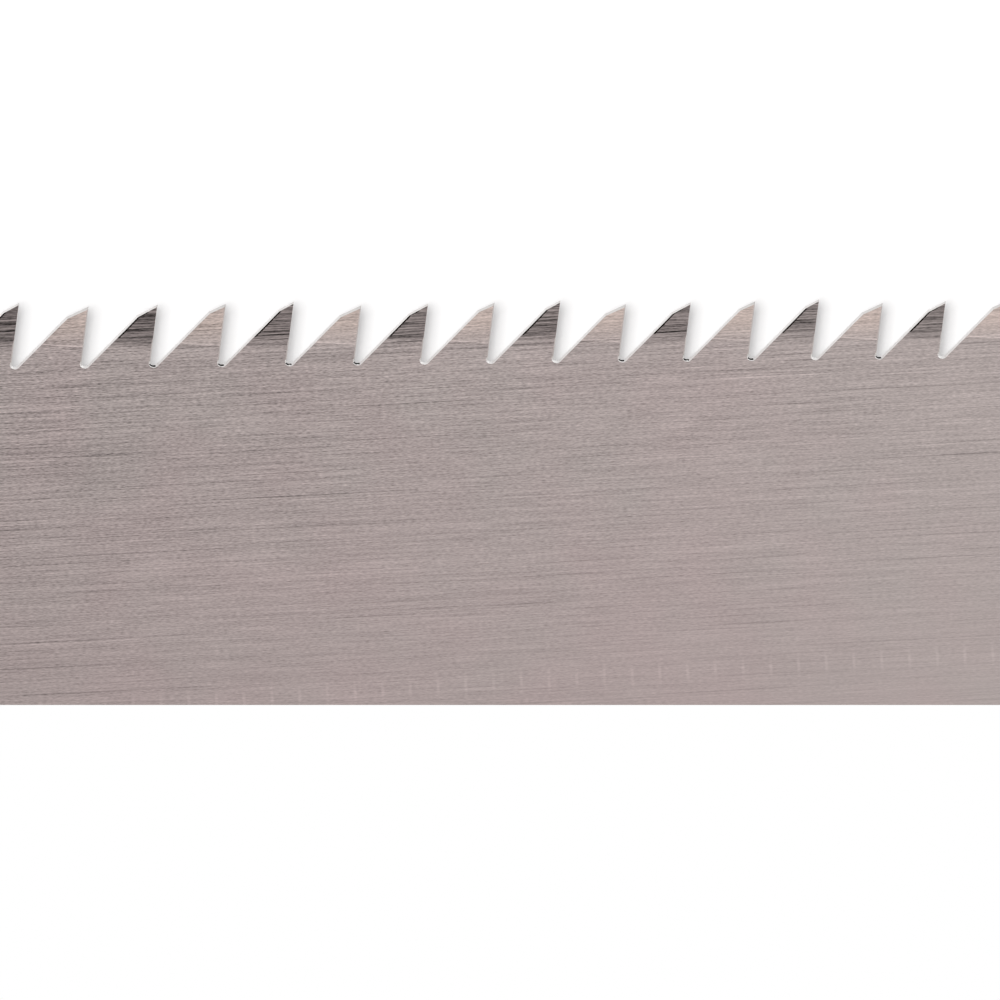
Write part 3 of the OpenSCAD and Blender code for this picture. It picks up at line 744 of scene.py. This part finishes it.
# %% Finish of the blade
def steel_for_blade():
    """The flats, and where "strip" names a bevel or a wall, its bare metal with painted highlight and
    shade, and the painted dark reflection in some gullets.
    """
    f = Finish("brushed blade steel")
    brush = brushing(f)
    kind, rise, across, mark = f.fact("strip"), f.fact("rise"), f.fact("across"), f.fact("mark")
    ragged = f.noise((7000, 7000, 7000), 1.0)
    # painted dark reflection: an arc with a ragged edge in the gullets that mark picks
    dark_gullet_reflection = kind.equals(GULLET) * mark.above(0.3 + ragged * 0.4) * across.above(0.15 + ragged * 0.35)
    # painted highlight: the back and gullet bevels are near white, a little duller above the bend
    pale = f.mix((rise * 4).clipped() * 0.5, paint(252, 250, 249), paint(226, 223, 221))
    # the facet and face bevels are painted darker, as shaded copies of the same metal
    pale = f.mix(kind.equals(FACET), pale, paint(232, 229, 227))
    pale = f.mix(kind.equals(FACE), pale, paint(228, 221, 218))
    # painted dark reflection in some gullets
    pale = f.mix(dark_gullet_reflection, pale, paint(30, 24, 20))
    pale = f.mix(kind.above(WALL - 0.5), pale, paint(205, 200, 196))
    bevel = kind.above(PLATE + 0.5)
    relief = brush["fine"] * 0.6 + brush["medium"] * 0.4
    return f.done(Base_Color=f.mix(bevel, flats(f, brush), pale), Metallic=1.0,
                  Roughness=0.34 + (brush["fine"] - 0.5) * 0.12 + bevel * 0.14,
                  Normal=f.bump(relief, 0.0015 * MM, 0.5))


blade.data.materials.append(steel_for_blade())
print("blade finish:", len(blade.data.materials[0].node_tree.nodes), "nodes")

# %% [markdown]
# ## The oval of the handle
#
# The wood is wider and thicker at the butt than at the front, so that it doesn't slip out
# of the hand, and its section is fuller than an ellipse. The CAD has that form as loose
# triangles. The same formula, written for whole arrays, gives the exact skin at any station
# and angle, and the winding needs that.

# %% The handle's oval skin
WOOD_X = MOUTH + 42 * MM       # front of the handle
GRIP = 301 * MM                # its length
FRONT_W, FRONT_T = 27 * MM, 20 * MM            # width and thickness at the front
MORE_W, MORE_T = 6 * MM, 5 * MM                # what the butt has more
OVAL = 2.3                     # 2 would be an ellipse, and more is fuller


def skin(x, angle, grow):
    """A point on the handle's oval skin at x, moved outwards by grow.

    Width and thickness grow with the square of the share of the length, and the oval is a
    superellipse: the cosine and sine to the power of 2 / OVAL, with their signs kept."""
    share = (x - WOOD_X) / GRIP
    c, s = np.cos(angle), np.sin(angle)
    y = ((FRONT_W + MORE_W * share ** 2) / 2 + grow) * np.sign(c) * np.abs(c) ** (2 / OVAL)
    z = ((FRONT_T + MORE_T * share ** 2) / 2 + grow) * np.sign(s) * np.abs(s) ** (2 / OVAL)
    return np.stack([x, y, MID + z], -1)


butt = skin(np.array([WOOD_X + GRIP]), np.array([0.0]), 0)
print("the butt is", round(2 * butt[0, 1] / MM, 1), "mm wide")

# %% [markdown]
# ## The rattan binding
#
# A ryoba's handle is bound with one long strip of split cane, wound edge to edge, so that
# the hand doesn't slip. It could be a picture on a plain sleeve, but from the side every
# turn has its own rounded edge. So the strip itself is carried along a screw line round
# the oval handle. Its front edge lags one turn behind its rear edge at the start, and so
# both ends taper to nothing against the steel bands, as a binder cuts them.

# %% Carry a cane profile round the handle
wrap_low, wrap_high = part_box("rattan_wrap")
TURNS, STEPS, RING = 58, 48, 12                # turns, steps to a turn, points round the cane
CANE_T, CANE_LIFT = 1.08 * MM, 0.06 * MM       # the cane's thickness, and its gap to the wood
THINNEST = 0.25                # share of the thickness that is left at the tapered ends
REACH = 0.487                  # half width as a share of the pitch; 0.5 would touch
MEAN_R = 13.6 * MM             # the oval's mean radius, to measure along the cane


def cane_strip():
    """Points of the strip: an angle t round the handle, and a place p round its profile.

    The rear edge advances from the first turn on and stops one turn before the end; the
    front edge starts one turn later. The profile is a flattened oval between the edges,
    the cosine to the power 0.62 and the sine to the power 0.7."""
    t = (np.arange((TURNS + 1) * STEPS + 1) + 0.5) / STEPS
    step = (wrap_high.x - wrap_low.x) / TURNS
    front = wrap_low.x + step * np.clip(t - 1, 0, TURNS)
    rear = wrap_low.x + step * np.clip(t, 0, TURNS)
    front[0], rear[-1] = rear[0], front[-1]
    p = np.linspace(0, 2 * math.pi, RING, endpoint=False)[None]
    across = 0.5 + REACH * np.sign(np.cos(p)) * np.abs(np.cos(p)) ** 0.62
    height = 0.5 + 0.5 * np.sign(np.sin(p)) * np.abs(np.sin(p)) ** 0.7
    x = front[:, None] + (rear - front)[:, None] * across
    thin = np.clip((rear - front) / step, THINNEST, 1)[:, None]
    angle = 2 * math.pi * t[:, None] + 0 * x
    points = skin(x, angle, CANE_LIFT + CANE_T * height * thin)
    return points.reshape(-1, 3), (angle * MEAN_R).ravel(), (across + 0 * x).ravel(), len(t)


points, along, across, count = cane_strip()
ends = [list(range(RING))[::-1], list(range((count - 1) * RING, count * RING))]
binding = put("rattan_strip", points, net(count, RING, around=True).tolist() + ends,
              "rattan_wrap", sharp=60, point_facts={"along": along, "across": across})

# %% [markdown]
# ## Rounding what the CAD leaves sharp
#
# The clamp, the bands, the pins and the wood already have the right shape in the CAD, but
# their edges are knife sharp, and no real edge is. A sharp edge also catches no light. A
# copy of each has its loose triangles joined, its flat parts made whole, and a small Bevel
# put on its edges, and then stands for the piece.

# %% Soften a CAD piece
CREASE = math.radians(35)      # where the surface turns by more than this, it has an edge
EVEN = math.radians(1)         # faces that turn by less than this make one flat
LOOSE = 0.001 * MM             # corners of triangles closer than this are joined


def soften(node, width, finish):
    """A copy of a CAD piece that stands for it, its edges rounded over a width."""
    mesh = frame["nodes"][node].data.copy()
    mesh.name = "soft_" + node
    for name in [a.name for a in mesh.attributes if a.name in ("custom_normal", "sharp_face")]:
        mesh.attributes.remove(mesh.attributes[name])
    shape = bmesh.new()
    shape.from_mesh(mesh)
    bmesh.ops.remove_doubles(shape, verts=shape.verts, dist=LOOSE)
    bmesh.ops.dissolve_limit(shape, angle_limit=EVEN, verts=shape.verts, edges=shape.edges)
    shape.to_mesh(mesh)
    shape.free()
    mesh.materials.clear()
    mesh.materials.append(finish)
    mesh.shade_smooth()
    mesh.set_sharp_from_angle(angle=CREASE)
    piece = bpy.data.objects.new("soft_" + node, mesh)
    bpy.context.scene.collection.objects.link(piece)
    bevel = piece.modifiers.new("soft edges", "BEVEL")
    bevel.width, bevel.segments = width, 2
    bevel.limit_method, bevel.angle_limit = "ANGLE", CREASE
    bevel.use_clamp_overlap = True
    stand_for(piece, node)
    print(f"softened {node}: {len(mesh.polygons)} faces")


# %% [markdown]
# ## Wood and cane
#
# Softwood grows in rings, which are long lines along the handle and arcs on its butt. A
# stretched noise alone would give lines on the butt as well, so the rings are real circles
# round a pith, warped a little. The two halves of the handle were cut from different
# places, so their rings differ. Split cane keeps its glossy skin, with fine fibres along it
# and a scar where a leaf grew.

# %% Finishes of the wood and the cane
RING_PITCH = 1.4 * MM


def handle_wood(name, pith):
    """Softwood round a pith at (y, z): the growth rings are circles about it, and each
    darkens slowly to its late wood and ends at once."""
    f = Finish(name)
    _, y, z = f.axes(f.place())
    y, z = y - pith[0], z - pith[1]
    warp = f.noise((5, 25, 25), 1.5) * (4 * MM) + f.noise((40, 160, 160), 2.0) * (0.5 * MM)
    part = (((y * y + z * z) ** 0.5 + warp) / RING_PITCH).fraction()
    late = part ** 5 * ((1 - part) * 9).clipped() * 1.7
    fibre = f.noise((160, 5200, 5200), 2.0, 0.6)
    pore = f.noise((700, 9000, 9000), 1.0, 0.6)
    cloud = f.noise((14, 60, 60), 2.0)
    colour = f.mix(late.clipped(), paint(222, 190, 142), paint(184, 142, 92))
    colour = f.tone(colour, 1 + (fibre - 0.5) * 0.18 + (cloud - 0.5) * 0.2 + (pore - 0.5) * 0.12)
    return f.done(Base_Color=colour, Roughness=0.5 + (fibre - 0.5) * 0.2,
                  Normal=f.bump(fibre - late * 0.5, 0.03 * MM, 0.6), Coat_Weight=0.12,
                  Coat_Roughness=0.35)


def split_cane():
    """Cane by its own length and width: fibres along it, paler and browner lengths, edges
    painted darker as shade where each turn meets the next, and about five leaf scars a metre."""
    f = Finish("split cane")
    along, across = f.fact("along"), f.fact("across")
    fibre = f.noise_at(f.point(along * 260, across * 26, 0.0), 2.0, 0.6)
    patch = f.noise_at(f.point(along * 9, across * 0.3, 0.0), 2.0, 0.5)
    # painted shade: each turn is darker towards its edges, where it meets the next
    rim = (abs(across - 0.5) * 2) ** 6
    scar = (1 - abs((along * 5.1 + patch * 0.6).fraction() - 0.5) * 60).clipped()
    colour = f.mix(patch, paint(214, 170, 104), paint(190, 138, 72))
    colour = f.tone(colour, (1 + (fibre - 0.5) * 0.3) * (1 - rim * 0.45) * (1 - scar * 0.3))
    return f.done(Base_Color=colour, Roughness=(0.36 + (fibre - 0.5) * 0.2 + rim * 0.2),
                  Normal=f.bump(fibre - scar * 1.4, 0.03 * MM, 0.7),
                  Coat_Weight=0.25, Coat_Roughness=0.22)


upper_wood = handle_wood("upper softwood", (30 * MM, -45 * MM))
lower_wood = handle_wood("lower softwood", (-22 * MM, 70 * MM))
dowel_wood = handle_wood("dowel wood", (4 * MM, 30 * MM))
binding.data.materials.append(split_cane())
print("wood and cane ready, with a growth ring every", round(RING_PITCH / MM, 2), "mm")

# %% [markdown]
# ## Metals
#
# Every metal shows the way of its last tool. The clamp is dull nickel plate, brushed along
# the saw, with a few smudges. The bands' scratches run round the handle. The screw and the
# eyelet are turned, so theirs are rings about the axis, and the screw's head is knurled for
# the fingers. The knurl could be cut as a shape, but its ridges are only 0.15 mm deep, so
# relief in the finish is enough, and painted shade darkens its grooves.

# %% Finishes of the metals
def metal(name, colour, roughness, brush, depth, worn=None):
    """Metal brushed with so many scratches a metre along x, y and z, depth deep. Smudges
    darken it, and show the worn colour if there is one."""
    f = Finish(name)
    scratch = f.noise(brush, 2.0, 0.65)
    smear = f.noise((70, 90, 90), 3.0, 0.6, (2.0, 5.0, 1.0))
    tint = f.tone(colour, 1 + (scratch - 0.5) * 0.25 - (smear - 0.5).clipped() * 0.24)
    if worn:
        tint = f.mix(((smear - 0.55) * 5).clipped() * 0.5, tint, worn)
    return f.done(Base_Color=tint, Metallic=1.0,
                  Roughness=roughness + (scratch - 0.5) * 0.16 + (smear - 0.5) * 0.18,
                  Normal=f.bump(scratch, depth, 0.5))


def turned_metal(name, colour, roughness, centre, knurl=None, worn=None):
    """Metal turned on a lathe about an upright axis at x = centre: rings of the noise on
    r and z. knurl = (ridges, r, z): straight ridges, a sine of the angle, beyond r above z,
    with painted shade in the grooves between the ridges."""
    f = Finish(name)
    x, y, z = f.axes(f.place())
    x = x - centre
    r = (x * x + y * y) ** 0.5
    ring = f.noise_at(f.point(r * 6500, z * 6500, (x + y) * 60), 1.5, 0.6)
    smear = f.noise((110, 130, 130), 3.0, 0.6, (2.0, 5.0, 1.0))
    tint = f.tone(colour, 1 + (ring - 0.5) * 0.3 - (smear - 0.5).clipped() * 0.3)
    if worn:
        tint = f.mix(((smear - 0.5) * 5).clipped() * 0.5, tint, worn)
    height = ring
    if knurl:
        ridges, rim, floor = knurl
        wave = (y.maths("ARCTAN2", y, x) * ridges).sine() * 0.5 + 0.5
        side = ((r - rim) * 5000).clipped() * ((z - floor) * 5000).clipped()
        # painted shade: the grooves between the knurl's ridges are darker
        tint = f.tone(tint, 1 - side * (1 - wave) * 0.45)
        height = ring * 0.02 + side * wave
    return f.done(Base_Color=tint, Metallic=1.0,
                  Roughness=roughness + (ring - 0.5) * 0.16 + (smear - 0.5) * 0.2,
                  Normal=f.bump(height, (0.15 if knurl else 0.003) * MM, 0.6))


nickel = metal("dull nickel plate", paint(206, 203, 196), 0.3, (500, 6500, 6500), 0.002 * MM)
screw_nickel = turned_metal("turned nickel", paint(208, 205, 197), 0.26, SCREW)
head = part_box("clamp_screw")[1].z
knurled = turned_metal("knurled nickel", paint(208, 205, 197), 0.26, SCREW,
                       knurl=(44, 5.6 * MM, head - 3.4 * MM))
band_steel = metal("turned band steel", paint(200, 197, 190), 0.32, (9000, 300, 300), 0.003 * MM)
rivet_steel = metal("polished rivet steel", paint(212, 210, 205), 0.2, (2400, 2400, 2400), 0.001 * MM)
spacer = metal("plain spacer steel", paint(176, 174, 170), 0.38, (700, 4000, 900), 0.002 * MM)
spring = metal("blackened spring steel", paint(78, 78, 80), 0.42, (2400, 2400, 2400), 0.002 * MM)
brass = metal("satin brass", paint(200, 164, 92), 0.3, (3000, 3000, 3000), 0.002 * MM,
              worn=paint(158, 120, 66))
eyelet_low, eyelet_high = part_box("hanging_eyelet")
eyelet_x = (eyelet_low.x + eyelet_high.x) / 2
eyelet_brass = turned_metal("turned brass", paint(204, 168, 96), 0.3, eyelet_x,
                            worn=paint(166, 128, 72))
print("materials in the scene:", len(bpy.data.materials))

# %% [markdown]
# ## Every fitting in its finish
#
# How wide an edge is rounded follows from how the piece is made. Pressed plate, turned
# bands and the screw's head have wide soft edges, wood is only broken with paper, and
# small rivets and pins keep fine ones. The widths are in millimetres.

# %% Dress the rest
for node, width, finish in (
        ("upper_cheek", 0.35, nickel), ("lower_cheek", 0.35, nickel),
        ("slot_frame", 0.08, spacer), ("cheek_rivets", 0.08, rivet_steel),
        ("clamp_nut", 0.25, screw_nickel), ("clamp_washer", 0.2, screw_nickel),
        ("clamp_screw", 0.35, knurled), ("screw_clip", 0.12, spring),
        ("ferrule", 0.35, band_steel), ("ferrule_pins", 0.06, brass),
        ("core_upper", 0.12, upper_wood), ("core_lower", 0.12, lower_wood),
        ("core_dowels", 0.2, dowel_wood), ("tang_pins", 0.15, spacer),
        ("rear_ring", 0.3, band_steel), ("ring_pins", 0.06, brass),
        ("hanging_eyelet", 0.18, eyelet_brass), ("eyelet_washer", 0.18, eyelet_brass)):
    soften(node, width * MM, finish)

# %% [markdown]
# ## Floor and the picture's edge
#
# The photograph has a white ground with soft grey shadows beside the teeth. The floor is
# white, and part of what the camera sees of it is plain white light, so that the open
# ground stays white while the shadow still shows. Away from the photographed stretch the
# lamps reach the floor less, and the plain light grows to make up for it.
#
# From seven tenths of the way down the photograph is blank white: it was cut off there,
# parallel to its own edge and not to the blade. A small white card close to the lens does
# the same, and leaves the blade whole.

# %% White floor and white card
GLOW = 0.34                    # plain light that the camera sees of the floor
GLOW_FROM, GLOW_RISE = 0.4, 0.35               # it grows beyond these metres, this much a metre
FLOOR = 6                      # half the floor's side, in metres
CARD = 30 * MM                 # from the lens to the card
CUT = 0.705                    # the picture is blank below this share of its height
CARD_W = 0.7                   # its reach to the sides and down, in picture widths


def white_floor():
    """A matt floor that also glows, for the camera and for what mirrors it."""
    f = Finish("white floor")
    rays = f.node("ShaderNodeLightPath")
    share = f.value(rays, "Is Camera Ray").at_least(f.value(rays, "Is Glossy Ray"))
    matt = f.node("ShaderNodeBsdfDiffuse", None, {
        "Color": f.mix(f.noise((30, 30, 30), 3.0), (0.69, 0.69, 0.69), (0.71, 0.71, 0.71))})
    away = f.node("ShaderNodeVectorMath", {"operation": "DISTANCE"}, {
        0: f.place(), 1: (camera.location.x, camera.location.y, 0)})
    far = ((f.value(away, "Value") - GLOW_FROM) * GLOW_RISE).clipped()
    glow = f.node("ShaderNodeEmission", None, {
        "Color": f.tone((1.0, 1.0, 1.0), share * (GLOW + far)), "Strength": 1.0})
    both = f.node("ShaderNodeAddShader", None, {0: matt.outputs[0], 1: glow.outputs[0]})
    f.node("ShaderNodeOutputMaterial", None, {"Surface": both.outputs[0]})
    return f.owner


def white_card():
    """Plain white for the camera, and clear for every other ray."""
    f = Finish("white card")
    seen = f.value(f.node("ShaderNodeLightPath"), "Is Camera Ray")
    clear = f.node("ShaderNodeBsdfTransparent")
    glow = f.node("ShaderNodeEmission", None, {"Color": (1.0, 1.0, 1.0), "Strength": 1.0})
    both = f.node("ShaderNodeMixShader", None, {0: seen, 1: clear.outputs[0], 2: glow.outputs[0]})
    f.node("ShaderNodeOutputMaterial", None, {"Surface": both.outputs[0]})
    return f.owner


def sheet_of(name, corners, finish):
    """A flat stage piece from its four corners."""
    mesh = bpy.data.meshes.new(name)
    mesh.from_pydata(corners, [], [[0, 1, 2, 3]])
    mesh.materials.append(finish)
    piece = bpy.data.objects.new(name, mesh)
    bpy.context.scene.collection.objects.link(piece)


sheet_of("floor", [(-FLOOR, -FLOOR, 0), (FLOOR, -FLOOR, 0), (FLOOR, FLOOR, 0), (-FLOOR, FLOOR, 0)],
         white_floor())
picture = CARD * SENSOR / LENS                 # width of the picture where the card is
right = Vector((math.cos(TILT), -math.sin(TILT), 0))
up = Vector((math.sin(TILT), math.cos(TILT), 0))
middle = camera.location - Vector((0, 0, CARD))
card = [middle + picture * (right * across - up * down)
        for across, down in ((-CARD_W, CARD_W), (CARD_W, CARD_W), (CARD_W, CUT - 0.5),
                             (-CARD_W, CUT - 0.5))]
sheet_of("edge_card", [tuple(p) for p in card], white_card())
print("card", round(2 * CARD_W * picture / MM, 2), "mm wide, with the picture",
      round(picture / MM, 2), "mm wide there")

# %% [markdown]
# ## Sky and lamps
#
# A wide white sky gives the metal something to reflect. Straight above, it is brighter on
# one side than on the other, which is why one set of teeth looks light and the other dark.
# On matt surfaces it only fills the shadows. Two round lamps level with the camera and
# just left of it throw the soft shadow. They stand as far away as the camera does, so the
# shadow looks the same in every gap.

# %% Sky and lamps
FILL = 0.42                    # how bright the sky is for matt surfaces
world = bpy.data.worlds.new("studio")
bpy.context.scene.world = world
sky = Finish(owner=world)
_, side, height = sky.axes(sky.node("ShaderNodeTexCoord").outputs["Generated"])
height = height.clipped()
mirror = 1.0 - height * (1 - height) * 0.9 - side * height ** 20 * 1.8
rays = sky.node("ShaderNodeLightPath")
seen, shiny = sky.value(rays, "Is Camera Ray"), sky.value(rays, "Is Glossy Ray")
strength = seen + (1 - seen) * (shiny * mirror.clipped(0.1, 1.6) + (1 - shiny) * FILL)
lamp = sky.node("ShaderNodeBackground", None, {"Color": (1.0, 1.0, 1.0), "Strength": strength})
sky.node("ShaderNodeOutputWorld", None, {"Surface": lamp.outputs[0]})


def lamp_by_camera(name, light, angle, tilt):
    """A round lamp level with the camera, seen from the floor under an angle and left of the
    camera by a tilt, both in degrees. Its power spreads over a sphere, so "light" times the
    sphere's surface gives so many watts a square metre on the floor."""
    far = camera.location.z
    data = bpy.data.lights.new(name, "POINT")
    data.energy = light * 4 * math.pi * far ** 2
    data.shadow_soft_size = math.tan(math.radians(angle / 2)) * far
    piece = bpy.data.objects.new(name, data)
    piece.location = camera.location - Vector((math.tan(math.radians(tilt)) * far, 0, 0))
    piece.visible_glossy = False
    piece.visible_camera = False
    bpy.context.scene.collection.objects.link(piece)


lamp_by_camera("small lamp", 0.76, 1.8, 0.9)
lamp_by_camera("wide lamp", 1.42, 3.9, 1.9)
bpy.context.scene.view_settings.view_transform = "Standard"
print("sky and two lamps set, as far as", round(camera.location.z, 2), "m above the floor")
